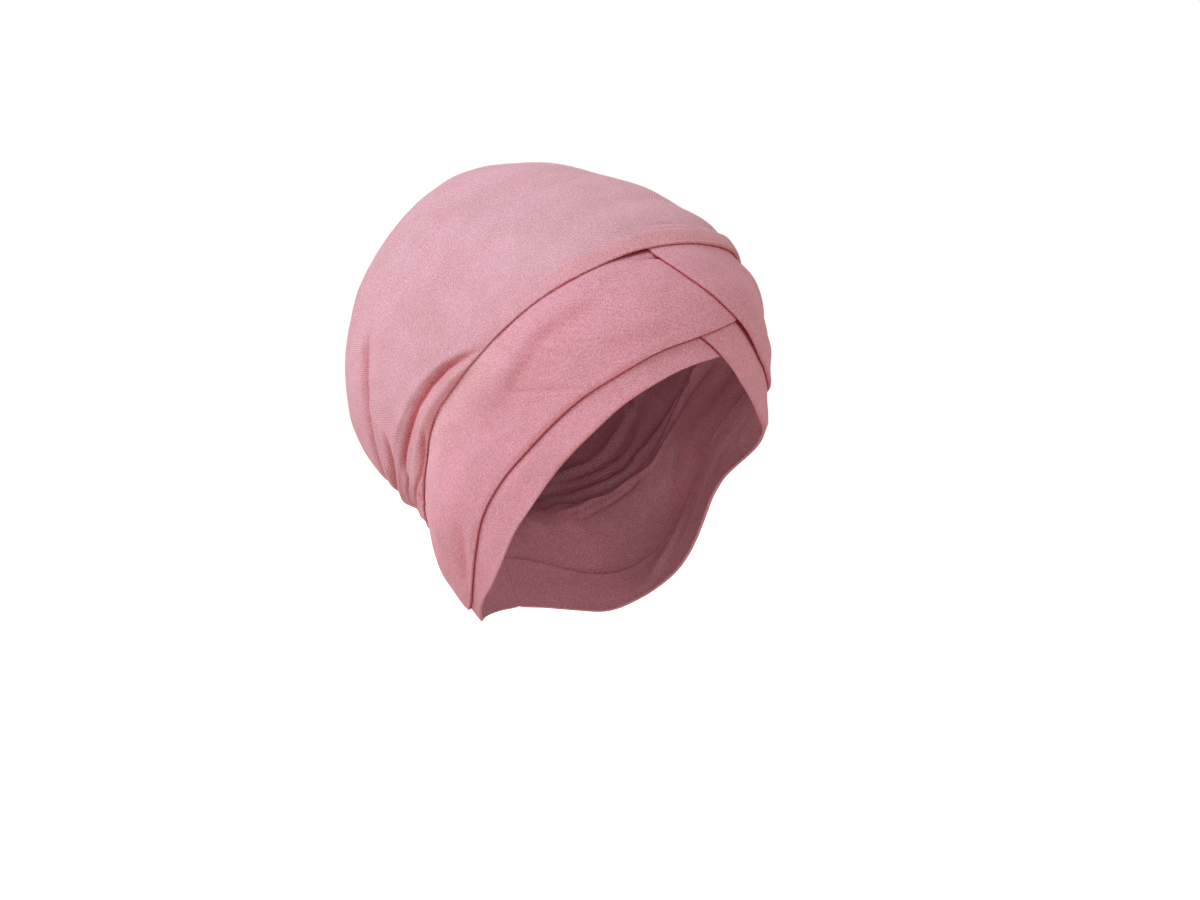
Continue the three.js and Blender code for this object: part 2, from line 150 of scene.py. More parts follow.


# These lie on both sides.
CREASES = {
    "big fold": Crease(
        [(62, 85.2), (68, 82.8), (73, 80.4), (79, 78.2), (85, 76.6), (94.5, 76.1), (103.3, 77),
         (110.7, 78.7), (116.2, 79.8), (121.4, 80.7), (126.5, 81.5), (130, 82.3), (134, 83.2)],
        -2.7, 2.3, 1.0, 0.4, 0.12, 1.0),
    "fold lip": Crease(
        [(68, 81.6), (72, 79.6), (78, 77), (84, 74.8), (90, 73.8), (98, 73.7), (105, 74.5),
         (113, 75.9), (118.5, 76.8), (124, 77.6), (128, 78.2)], 1.1, 3.4, 1.2, 0.25, 0.25),
    "roll": Crease(
        [(70, 84.2), (77, 82.1), (85, 80.2), (94, 79.6), (101.6, 80.2), (105.6, 81), (109.1, 81.8),
         (113.7, 83), (118, 84.2), (122.5, 85.2), (126.5, 86), (132, 86.2)],
        1.5, 2.4, 2.6, 0.2, 0.2),
    "roll crease": Crease(
        [(106, 81.8), (109, 83), (111.7, 84.2), (115.8, 86), (119.2, 87.5), (124.4, 88.8),
         (130.3, 88), (135.4, 87.4), (141.1, 87), (148, 86.8), (160, 86.6)],
        -1.4, 1.5, 1.6, 0.15, 0.15, 0.85),
    "tail lip": Crease(
        [(126, 79), (130, 79.9), (134.3, 80.2), (141, 79.6), (149, 78.2), (162, 76.6)],
        1.3, 1.6, 1.2, 0.2, 0.2),
    "tail crease": Crease(
        [(127, 83), (134, 83.4), (141, 82.4), (149, 80.8), (157, 79.4), (166, 78)],
        -1.9, 1.4, 1.3, 0.15, 0.15, 0.9),
    "thin ridge": Crease(
        [(130, 85.2), (137, 84.9), (143, 84.1), (151, 83.2), (164, 82)],
        1.1, 1.2, 1.1, 0.15, 0.15),
    "low ridge": Crease(
        [(126, 89.7), (134, 90.2), (142.5, 90.7), (156, 90.5)], 0.9, 1.4, 1.4, 0.2, 0.2),
    "hem crease": Crease(
        [(127.5, 88.6), (131.1, 90.5), (132.9, 92.2), (134.6, 95)],
        -0.8, 0.9, 0.9, 0.25, 0.25, 0.5),
    "back fold": Crease(
        [(102, 50.5), (105.1, 53.3), (107.7, 55.3), (110.9, 58.3), (113.4, 60.5), (117.4, 63.9),
         (121.1, 66.9), (125.2, 69.2), (129.7, 71.3), (134.8, 73.3), (140, 74.4), (149.5, 73.6),
         (166, 71)], -3.4, 4.0, 1.4, 0.15, 0.15, 0.7),
    "back lip": Crease(
        [(114, 62.4), (117.6, 65.6), (119.9, 67.9), (124.3, 70.9), (129.1, 73.4), (134.8, 75.6),
         (141, 76.4), (146, 76.2)], 1.1, 1.5, 2.4, 0.2, 0.35),
    "middle fold": Crease(
        [(118.4, 70.8), (121.3, 73.4), (124.7, 75.9), (128.3, 77.5), (132.8, 78.4), (138, 78.4),
         (145, 77.4), (152, 76), (164, 74)], -2.2, 2.3, 1.6, 0.2, 0.2, 0.8),
    "back tuck": Crease(
        [(141, 73), (147, 73.6), (153, 74.6), (160, 75)], -1.6, 3.0, 3.0, 0.25, 0.25, 0.4),
    "bag side": Crease([(114, 34), (130, 49), (144, 62)], -2.0, 13, 13, 0.35, 0.35),
    "nape valley": Crease(
        [(120, 111), (127.8, 114.9), (131.9, 116.4), (136.6, 117.6), (144, 118)],
        -2.2, 6, 3, 0.3, 0.3, 0.3),
    "nape ridge": Crease(
        [(104, 84), (110.2, 89.2), (118.9, 96.6), (129, 105.5), (138, 110)],
        1.3, 5, 5, 0.3, 0.3),
    "brow dip": Crease([(28, 95), (41, 97), (55, 97)], -0.5, 8, 8, 0.3, 0.3, 0.1),
}
# These lie only where they are drawn.
LONE_CREASES = {
    "bag corner": Crease([(-66, 16), (-28, 17.5), (-4, 22)], 1.4, 8, 8, 0.35, 0.35),
    "brow dip low": Crease([(-38, 109), (-24, 109.8), (-10, 108.4)], -0.7, 5, 5, 0.35, 0.35, 0.15),
    "brow left high": Crease([(20, 86), (30, 89), (40, 92), (52, 94)], 2.6, 7, 9, 0.35, 0.35),
    "brow left": Crease([(34, 98), (38, 112), (42, 134)], 2.2, 9, 9, 0.3, 0.1),
    "temple crease": Crease(
        [(-74, 97), (-67.3, 101.6), (-58, 107.8), (-51.5, 112), (-43, 117)],
        -0.5, 1.6, 1.1, 0.2, 0.2, 0.2),
    "brow streak": Crease(
        [(-58, 93.8), (-53.5, 94.4), (-45.2, 95.3), (-38.4, 95.8), (-28, 96.1)],
        -0.8, 4, 3.4, 0.3, 0.3, 0.22),
    "temple streak": Crease(
        [(-76, 98.4), (-68.6, 97.7), (-59, 97.1), (-50.4, 96.2), (-42, 96)],
        -0.75, 3.4, 3.4, 0.3, 0.3, 0.22),
    "temple rise": Crease(
        [(-76, 90), (-70, 92.4), (-63.8, 92.8), (-54.7, 91.8), (-44, 91)],
        0.45, 4, 4, 0.3, 0.3),
    "brow crease": Crease(
        [(-22, 100.3), (-16, 100.1), (-9, 100.4)], -0.4, 1.4, 1.4, 0.3, 0.3, 0.15),
}
# These are the crown's own, above its hem, and lie only where they are drawn too.
CROWN_CREASES = {
    "hem pucker": Crease([(-12, 79.4), (-6.9, 79.3), (-2.8, 79), (4, 79.6)], -0.5, 1.0, 0.8, 0.3, 0.3),
    "hem notch": Crease([(4, 78.6), (14, 77), (26, 76), (40, 76.6)], -0.9, 5, 1.5, 0.3, 0.3),
    "hem pucker low": Crease([(-7, 80.6), (-2, 80.2), (6, 80)], 0.35, 1.2, 0.8, 0.3, 0.3),
}
# And this is the upper right band's own, where it is drawn under the upper left one.
PLEAT = Crease(
    [(-21, 88), (-17, 88.6), (-13, 89.1), (-10.4, 89.6), (-7, 90.2)], -2.0, 0.6, 1.1, 0.6, 0.2, 0.6)
SHADE_SPREAD = (1.1, 1.2)  # how far a crease's painted shade reaches up and down, as shares of the crease

GATHER_FIRST = 140.0  # round angle where the gathers at the back of the crown start
GATHER_PITCH = 10.4  # degrees from one to the next
GATHER_DEPTH = 2.4
GATHER_RUN = 21.0  # degrees that a gather runs above the crown's edge
GATHER_TAIL = 5.0  # and below it
GATHER_SHADE = 0.5  # how much painted shade reddens the cloth in it
# Long waves of slack cloth: waves a turn, waves along the drop, phase, height.
SLACK = [
    (2, 5.0, 0.3, 0.45), (3, -7.0, 1.9, 0.4), (5, 4.0, 4.1, 0.3), (4, 11.0, 2.2, 0.25),
    (7, -6.0, 5.0, 0.2),
]
# How deep the cloth beneath sinks along a cover's edge: round, mm.
SINK = np.array([[-18, 0.15], [10, 0.15], [30, 0.2], [60, 0.4], [120, 0.4], [180, 0.2]])
CROWN_SINK = 0.05
SINK_REACH = (5.0, 14.0)  # how far it sinks past the edge and under the cover, mm
SINK_ONSET = 6.0  # degrees before a band's start over which its sink begins
# The width of the painted shade line where a cover's edge lies on the cloth beneath: full, then fading, mm.
CROWN_EDGE_SHADE = (0.1, 0.6)
BAND_EDGE_SHADE = (0.3, 0.9)
EDGE_SHADE_ONSET = 2.0  # degrees past a band's start over which its line begins
EDGE_SHADE_UNDER = (6.0, 2.0)  # how far it goes on under the cover, and fades over, mm
# Strips of painted shade and painted light along an edge, at the sides: how much, how far from the
# edge in mm, and the turns, as (start, rise, end, fall).
TUCK_SHADE = (0.55, 2.0, (66, 25, 150, 20))  # painted shade: the crown is redder and darker along its edge, where it tucks under
TURN_SHADE = (0.4, 2.6, (15, 20, 105, 30))  # painted shade too, along the bands' free edges, where they roll under
PAINTED_LIGHT_STRIP = (1.0, 13.0, (45, 30, 150, 30))  # painted light: the bands are paler along the crown's edge at the sides, where the light falls on them
HEM_FADE = (0.65, 20.0, 40.0)  # how much the hem's tone fades, from which turn, and over how many

CROWN_COLUMNS = 600
# Rows of a wall's outer face: (share of the way to its edge, steps up to there).
CROWN_ROWS = [(0.55, 16), (0.74, 18), (0.93, 54), (1.0, 24)]
CROWN_INSIDE = 3  # the crown's inner face has one in so many of these rows
BAND_COLUMNS = (140, 260)  # finer before the turn below than behind it
BAND_FRONT = 40.0
BAND_ROWS = [(0.12, 8), (0.88, 44), (1.0, 18)]
FOLD_ROWS = 8  # rows round the fold of a free edge
FOLD_SQUASH = 0.5  # how round its under half is beside its upper one
BAND_UV_RADIUS = 95.0  # mm of cloth for each radian round the head

CROWN_WALES, BAND_WALES = 0.36, 0.07  # how strongly the stitches show in the colour
ONE_WAVE = 0.314159  # the wave texture's scale that gives one wave a metre
GRAIN_SIZE, MOTTLE_SIZE = 0.0007, 0.03  # metres
COLOUR = {"size": 4, "min": 0, "max": 1, "subtype": "COLOR"}

# The stage, in metres from the origin.
FLOOR_SIZE, FLOOR_HEIGHT = 12.0, -0.202
CAMERA_AZIMUTH, CAMERA_ELEVATION, CAMERA_DISTANCE = -40.0, 2.0, 1.5
CAMERA_AIM = (-0.012 / 1.75, -0.096 / 1.75)  # to the right and up
# Name, place to the right, up and back towards the camera, size, share of the key light's power, colour.
LIGHTS = [
    ("key", (-1.4, 1.0, 0.85), 1.4, 1.0, "#FFFCFA"),
    ("fill", (1.2, 0.3, 1.4), 1.6, 0.16, "#FFDAC4"),
    ("back", (-0.2, 1.2, -1.5), 1.6, 0.3, "#FFFCFA"),
]
ROOM_LIGHT = (0.61, 0.54, 0.47, 1)  # the warm room that the piece sees, where the camera sees white
FLOOR_BOUNCE = "#E3CFC3"  # and the floor's colour as the piece sees it
FLOOR_GLOW, GLOW_COLOUR = 0.66, "#ECF7FF"
FLOOR_MOTTLE = 0.25  # from one patch of its mottling to the next


def ease(x):
    """The smooth step from 0 to 1: 3x^2 - 2x^3 between them."""
    x = np.clip(x, 0, 1)
    return x * x * (3 - 2 * x)


def between(x, start, rise, end, fall):
    """1 between a start and an end, easing in over the rise after the start and out over the fall."""
    return ease((x - start) / rise) * ease((end - x) / fall)


def bell(x, width):
    """1 at 0, falling off smoothly on both sides."""
    return np.exp(-((x / width) ** 2))


def along(table, x, column=1):
    """A smooth curve through a table's rows.

    It is a cubic between rows, whose slope at each row is the mean of the slopes beside it, weighted
    by nearness.
    """
    table = np.asarray(table, float)
    xs, ys = table[:, 0], table[:, column]
    run = np.diff(xs)
    rise = np.diff(ys) / run
    middle = (rise[:-1] * run[1:] + rise[1:] * run[:-1]) / (run[:-1] + run[1:])
    slope = np.concatenate([rise[:1], middle, rise[-1:]])
    x = np.clip(x, xs[0], xs[-1])
    i = np.clip(np.searchsorted(xs, x, side="right") - 1, 0, len(run) - 1)
    t = (x - xs[i]) / run[i]
    return ((2 * t**3 - 3 * t**2 + 1) * ys[i] + (t**3 - 2 * t**2 + t) * run[i] * slope[i]
            + (3 * t**2 - 2 * t**3) * ys[i + 1] + (t**3 - t**2) * run[i] * slope[i + 1])


def form_waves():
    """Each row of FORM as a sum of cosines of the turn, through its five columns.

    A mirrored copy of the second row goes before the tip, so that the form is smooth over it.
    """
    k = np.arange(5)
    half = np.where((k == 0) | (k == 4), 0.5, 1.0)
    waves = 0.5 * half * ((half * FORM[:, 1:]) @ np.cos(np.pi * np.outer(k, k) / 4))
    mirrored = np.concatenate([[-FORM[1, 0]], waves[1] * (-1.0) ** k])
    return np.vstack([mirrored, np.column_stack([FORM[:, 0], waves])])


WAVES = form_waves()


def radius(turn, drop):
    """Distance from the bag's middle to the form: the cosines of WAVES summed over the turn."""
    return sum(along(WAVES, drop, k + 1) * np.cos(k * np.radians(turn)) for k in range(5))


def directions(turn, drop):
    """Unit vectors out from the bag's middle, along the drop and along the turn."""
    lean = math.radians(BAG_LEAN)
    axis = np.array([0, math.sin(lean), math.cos(lean)])
    forward = np.array([0, -math.cos(lean), math.sin(lean)])
    sideways = np.array([1.0, 0, 0])
    t, d = np.radians(turn)[..., None], np.radians(drop)[..., None]
    level = np.cos(t) * forward + np.sin(t) * sideways
    out = np.cos(d) * axis + np.sin(d) * level
    down = -np.sin(d) * axis + np.cos(d) * level
    around = -np.sin(t) * forward + np.cos(t) * sideways
    return out, down, around


def on_form(turn, drop, height):
    """The point a height above the form, along its normal: out, less the slopes down and around."""
    turn, drop, height = np.broadcast_arrays(np.asarray(turn, float), drop, height)
    nudge = 0.5  # degrees to either side for a slope
    off = np.maximum(drop, nudge)
    out, down, around = directions(turn, off)
    r = radius(turn, off)
    step = 2 * math.radians(nudge) * r
    slope_down = (radius(turn, off + nudge) - radius(turn, off - nudge)) / step
    slope_around = radius(turn + nudge, off) - radius(turn - nudge, off)
    slope_around = slope_around / (step * np.sin(np.radians(off)))
    normal = out - slope_down[..., None] * down - slope_around[..., None] * around
    normal /= np.linalg.norm(normal, axis=-1, keepdims=True)
    place = directions(turn, drop)[0] * radius(turn, drop)[..., None]
    return BAG_MIDDLE + place + normal * height[..., None]


def crown_edge(turn):
    """The drop of the crown's edge: the table alike on both sides, plus its skew over the brow."""
    return along(CROWN_EDGE, np.abs(turn)) + along(CROWN_SKEW, turn)


def band_edge(name, rounds):
    """The drop of a band's free edge."""
    return along(BANDS[name]["edge"], rounds)


def band_top(name, rounds):
    """The hidden top of a band: under the crown, or under the upper band of a lower one."""
    band = BANDS[name]
    if band["over"] is None:
        top = crown_edge(band["side"] * rounds) - UNDER_CROWN
    else:
        first, last = CROSSING
        settled = ease((rounds - first) / (last - first))
        low = band_edge(band["over"], rounds) - UNDER_BAND
        top = np.maximum(low, band["highest"]) * (1 - settled) + low * settled
    return np.minimum(top, band_edge(name, rounds) - 1)


def past_edge(name, turn, drop):
    """Degrees past a band's free edge, measured square to it."""
    band = BANDS[name]
    inside = np.maximum(band["side"] * turn, band["start"])
    slope = (band_edge(name, inside + 1) - band_edge(name, inside)) / np.sin(np.radians(drop + 1))
    return (drop - band_edge(name, inside)) / np.hypot(1, slope)


def covers(name, turn, drop):
    """1 where a band lies, easing to 0 beyond its start, its top and its free edge."""
    band = BANDS[name]
    rounds = band["side"] * turn
    inside = np.maximum(rounds, band["start"])
    share = 1.0
    for distance in (band["start"] - rounds, band_top(name, inside) - drop, past_edge(name, turn, drop)):
        share = share * ease(1 + (EASE_MARGIN - distance) / EASE)
    return share


def crease_height(crease, turn, drop):
    """A bell of the distance from the crease's line, with its own width on each side, faded at both ends."""
    line = np.array(crease.line, float)
    reach = radius(turn, drop) * math.radians(1)
    squeeze = np.sin(np.radians(drop))
    lengths = np.hypot(np.diff(line[:, 0]), np.diff(line[:, 1]))
    start = np.concatenate([[0], np.cumsum(lengths)])
    nearest = np.full(np.shape(drop), 1e9)
    side = np.zeros(np.shape(drop))
    t = np.zeros(np.shape(drop))
    for (turn0, drop0), (turn1, drop1), s0, length in zip(line[:-1], line[1:], start, lengths):
        run0, run1 = (turn1 - turn0) * squeeze, drop1 - drop0
        gap0, gap1 = (turn - turn0) * squeeze, drop - drop0
        share = np.clip((run0 * gap0 + run1 * gap1) / (run0**2 + run1**2), 0, 1)
        distance = reach * np.hypot(gap0 - share * run0, gap1 - share * run1)
        closer = distance < nearest
        nearest = np.where(closer, distance, nearest)
        side = np.where(closer, np.sign(run0 * gap1 - run1 * gap0), side)
        t = np.where(closer, (s0 + share * length) / start[-1], t)
    forwards = np.sign(line[-1, 0] - line[0, 0])
    width = np.where(side * forwards > 0, crease.down, crease.up)
    return crease.height * between(t, 0, crease.fade_in, 1, crease.fade_out) * bell(nearest, width)


def total(creases, turn, drop):
    """The heights of several creases, added."""
    return sum(crease_height(crease, turn, drop) for crease in creases.values())


def gather_height(rounds, drop):
    """Ripples where the crown is drawn in at the back, faded above and below its edge."""
    edge = crown_edge(rounds)
    fade = ease((drop - edge + GATHER_RUN) / GATHER_RUN) * (1 - ease((drop - edge) / GATHER_TAIL))
    pitches = (rounds - GATHER_FIRST) / GATHER_PITCH
    return -GATHER_DEPTH * fade * ease(pitches) * (0.5 - 0.5 * np.cos(2 * np.pi * pitches))


def softness(turn, drop):
    """The slack of the cloth: long low waves, calmer on the bands, and fine bent ripples."""
    t, d = np.radians(turn), np.radians(drop)
    slack = sum(height * np.sin(k * t + m * d + phase) for k, m, phase, height in SLACK)
    bend = 1.3 * np.sin(3 * t + 0.7) + 0.9 * np.sin(5 * t - 4 * d + 2.0)
    fine = 0.22 * np.sin(27 * d + 2 * t + bend) * np.sin(4 * t + 5 * d + 1.1)
    fine = fine + 0.14 * np.sin(41 * d - 5 * t - bend) * np.sin(7 * t - 3 * d)
    return slack * ease(drop / 25) * (1 - 0.6 * ease((drop - 80) / 20)) + fine * ease((drop - 30) / 30)


def relief(turn, drop):
    """The height that every piece shares: creases, gathers and slack."""
    rounds = np.abs(turn)
    height = gather_height(rounds, drop) + softness(turn, drop)
    return height + total(CREASES, rounds, drop) + total(LONE_CREASES, turn, drop)


def painted_fold_shade(turn, drop):
    """0 on open cloth to 1 in the valleys: the painted shade of the gathers and of each crease."""
    rounds = np.abs(turn)
    deep = -gather_height(rounds, drop) / GATHER_DEPTH * GATHER_SHADE
    up, down = SHADE_SPREAD
    for creases, place in ((CREASES, rounds), (LONE_CREASES, turn)):
        for crease in creases.values():
            if crease.fold_shade:
                fold_shade = crease._replace(height=crease.fold_shade, up=crease.up * up, down=crease.down * down)
                deep = np.maximum(deep, crease_height(fold_shade, place, drop))
    return np.clip(deep, 0, 1)


def sink(turn, drop, covering):
    """How far the cloth sinks along the edges of what covers it, easing out on both sides of them."""
    depth = 0.0
    beyond, under = SINK_REACH
    reach = radius(turn, drop) * math.radians(1)
    for name in covering:
        if name == "crown":
            past, deepest = (drop - crown_edge(turn)) * reach, CROWN_SINK
        else:
            band = BANDS[name]
            rounds = band["side"] * turn
            past = past_edge(name, turn, drop) * reach
            deepest = along(SINK, rounds) * ease((rounds - band["start"] + SINK_ONSET) / SINK_ONSET)
        depth = depth - deepest * (1 - ease(past / beyond)) * (1 - ease(-past / under))
    return depth


def seam(turn, drop, covering):
    """Painted shade: 1 in the dark line along the edges of what covers the cloth, easing to 0 past it."""
    line = np.zeros(drop.shape)
    reach = radius(turn, drop) * math.radians(1)
    under, under_fade = EDGE_SHADE_UNDER
    for name in covering:
        if name == "crown":
            past, (full, fade) = (drop - crown_edge(turn)) * reach, CROWN_EDGE_SHADE
            there = 1.0
        else:
            band = BANDS[name]
            rounds = band["side"] * turn
            past, (full, fade) = past_edge(name, turn, drop) * reach, BAND_EDGE_SHADE
            there = ease((rounds - band["start"]) / EDGE_SHADE_ONSET)
        there = there * (1 - ease((past - full) / fade)) * ease((past + under) / under_fade)
        line = np.maximum(line, there)
    return line


def fold_edge_shade(share, past, wall):
    """Painted shade: 1 under the rounded fold of a free edge, where it meets the cloth beneath, at so many
    mm past it.
    """
    return ease((0.45 - share) / 0.25) * ease(2 + 4 * past / wall)


def edge_strip(strip, past, turn):
    """The strength of a strip along an edge, at so many mm past the edge: painted shade along the crown's
    tuck and the bands' free edges, painted light on the bands by the crown.
    """
    strength, reach, sides = strip
    return strength * between(np.abs(turn), *sides) * bell(past, reach)


def srgb(text, alpha=1.0):
    """An sRGB hex colour, such as "#DBA8B2", as linear values."""
    parts = [int(text[i:i + 2], 16) / 255 for i in (1, 3, 5)]
    return tuple(c / 12.92 if c <= 0.04045 else ((c + 0.055) / 1.055) ** 2.4 for c in parts) + (alpha,)


def add_node(tree, kind, settings=None, inputs=None):
    """Adds a node, sets its properties, and gives each named or numbered input a value or a link."""
    node = tree.nodes.new(kind)
    for key, value in (settings or {}).items():
        setattr(node, key, value)
    for key, value in (inputs or {}).items():
        if isinstance(value, bpy.types.NodeSocket):
            tree.links.new(value, node.inputs[key])
        else:
            node.inputs[key].default_value = value
    return node


def mesh_piece(name, points, faces, uv, attributes, flat_from=None):
    """A mesh object from points in mm, quads or triangles, a UV in mm and named numbers for each point.

    Faces from number flat_from on are shaded flat.
    """
    mesh = bpy.data.meshes.new(name)
    mesh.from_pydata((points * MM).tolist(), [], faces)
    mesh.update()
    smooth = np.ones(len(faces), bool)
    if flat_from is not None:
        smooth[flat_from:] = False
    mesh.polygons.foreach_set("use_smooth", smooth)
    corner = np.empty(len(mesh.loops), int)
    mesh.loops.foreach_get("vertex_index", corner)
    layer = mesh.uv_layers.new(name="cloth")
    layer.data.foreach_set("uv", (uv * MM)[corner].astype(np.float32).ravel())
    for key, values in attributes.items():
        attribute = mesh.attributes.new(key, "FLOAT", "POINT")
        attribute.data.foreach_set("value", values.astype(np.float32))
    obj = bpy.data.objects.new(name, mesh)
    bpy.context.scene.collection.objects.link(obj)
    return obj


def profile(drops, thin, edge, wall):
    """The outer face's rows and the fold's: their drops, and the fold's share of the wall's thickness.

    Arrays are (column, row), and thin is the mm in a degree of drop at the edge.
    """
    fold = np.linspace(0, np.pi, FOLD_ROWS + 2)[1:-1]
    reach = 0.5 * wall / thin[:, None]
    middle = edge[:, None] - reach
    bulge = np.where(fold < np.pi / 2, np.sin(fold), 1 - FOLD_SQUASH * (1 - np.sin(fold)))
    fold_drop = middle + reach * bulge
    fold_share = 0.5 + 0.5 * np.cos(fold) + 0 * fold_drop
    return np.minimum(drops, middle), fold_drop, fold_share


def grid_faces(columns, rows, wrap_columns, wrap_rows):
    """Quads of a grid, turned outwards; a point's number is column times rows plus row."""
    i = np.arange(columns if wrap_columns else columns - 1)
    j = np.arange(rows if wrap_rows else rows - 1)
    i, j = np.meshgrid(i, j, indexing="ij")
    i1, j1 = (i + 1) % columns, (j + 1) % rows
    return np.stack([i * rows + j, i * rows + j1, i1 * rows + j1, i1 * rows + j], -1).reshape(-1, 4)


def row_shares(stops):
    """Shares from 0 to 1 with the given number of steps in each stretch: (end, steps)."""
    shares, last = [np.zeros(1)], 0.0
    for end, steps in stops:
        shares.append(np.linspace(last, end, steps + 1)[1:])
        last = end
    return np.concatenate(shares)


def arc_length(turn, drop):
    """Millimetres of cloth from the bag's tip to a drop: the mean radius on the way times the angle."""
    steps = np.linspace(0, 1, 9)
    mean = sum(radius(turn, drop * s) for s in steps) / len(steps)
    return mean * np.radians(drop)


def hem_degrees(shape):
    """The hem's width in degrees of drop: one degree is about 2 mm there."""
    return shape.hem_width / MM / 2.0


def crown_wall(shape, turn, drop):
    """The crown's thickness: a single layer, then the hem, which stands up over the left brow."""
    single, double = shape.crown_wall / MM, shape.hem_wall / MM
    (sharp, gentle), (near, far), (stand, at, reach) = HEM_STEP, HEM_STEP_TURNS, HEM_STAND
    step = sharp + (gentle - sharp) * ease((np.abs(turn) - near) / (far - near))
    raised = double - single + stand * bell(turn - at, reach)
    return single + raised * ease((drop - crown_edge(turn) + hem_degrees(shape)) / step)


def crown_mesh(shape):
    """The crown: a ring of columns round the bag, closed over the tip, with a hem along its edge."""
    columns = CROWN_COLUMNS
    turn = -180 + (np.arange(columns) + 0.5) * 360 / columns
    edge = crown_edge(turn)
    single, double = shape.crown_wall / MM, shape.hem_wall / MM
    ply = shape.band_wall / MM + AIR
    thin = radius(turn, edge) * math.radians(1)

    shares = row_shares(CROWN_ROWS)[1:]
    outer, fold, fold_share = profile(edge[:, None] * shares, thin, edge, double)
    inner = edge[:, None] * shares[::-1][::CROWN_INSIDE]
    inner = np.minimum(inner, edge[:, None] - 0.5 * double / thin[:, None])
    drop = np.hstack([outer, fold, inner])
    share = np.hstack([np.ones_like(outer), fold_share, np.zeros_like(inner)])
    turns = np.broadcast_to(turn[:, None], drop.shape)
    past = (drop - edge[:, None]) * thin[:, None]
    rows = drop.shape[1]

    def under(t, d):
        return sum(ply * covers(name, t, d) for name in BANDS) + relief(t, d)

    settle = (AIR + PRESS) * ease((drop - edge[:, None] + SETTLE_RUN) / SETTLE_RUN)
    thickness = crown_wall(shape, turns, drop) + total(CROWN_CREASES, turns, drop)
    points = on_form(turns, drop, under(turns, drop) - settle + share * thickness).reshape(-1, 3)
    tip = np.zeros(2)
    points = np.vstack([points, on_form(tip, tip, np.array([single, 0.0]) + under(tip, tip))])

    i = np.arange(columns)
    following = (i + 1) % columns
    outer_tip, inner_tip = columns * rows, columns * rows + 1
    faces = grid_faces(columns, rows, True, False).tolist()
    faces += np.stack([np.full(columns, outer_tip), i * rows, following * rows], -1).tolist()
    last = rows - 1
    faces += np.stack([np.full(columns, inner_tip), following * rows + last, i * rows + last], -1).tolist()

    reach = arc_length(turns, drop)
    uv = np.stack([reach * np.cos(np.radians(turns)), reach * np.sin(np.radians(turns))], -1)
    uv = np.vstack([uv.reshape(-1, 2), np.zeros((2, 2))])
    fade, fade_from, fade_run = HEM_FADE
    hem = ease((drop - edge[:, None] + hem_degrees(shape)) / 1.2)
    hem = hem * (1 - fade * ease((np.abs(turns) - fade_from) / fade_run))
    # Painted shade: redder and darker in the folds and along the tucked edge, on the outer face and the
    # fold's upper half
    deep = np.maximum(painted_fold_shade(turns, drop), edge_strip(TUCK_SHADE, past, turns)) * ease(share / 0.5)
    # Painted shade: the dark red line under the hem's fold, where it lies on the band
    line = fold_edge_shade(share, past, double)
    tones = {"hem_or_unlit": hem, "deep": deep, "seam": line}
    tones = {key: np.append(values.ravel(), [0, 0]) for key, values in tones.items()}
    return mesh_piece("jersey_crown", points, faces, uv, tones)


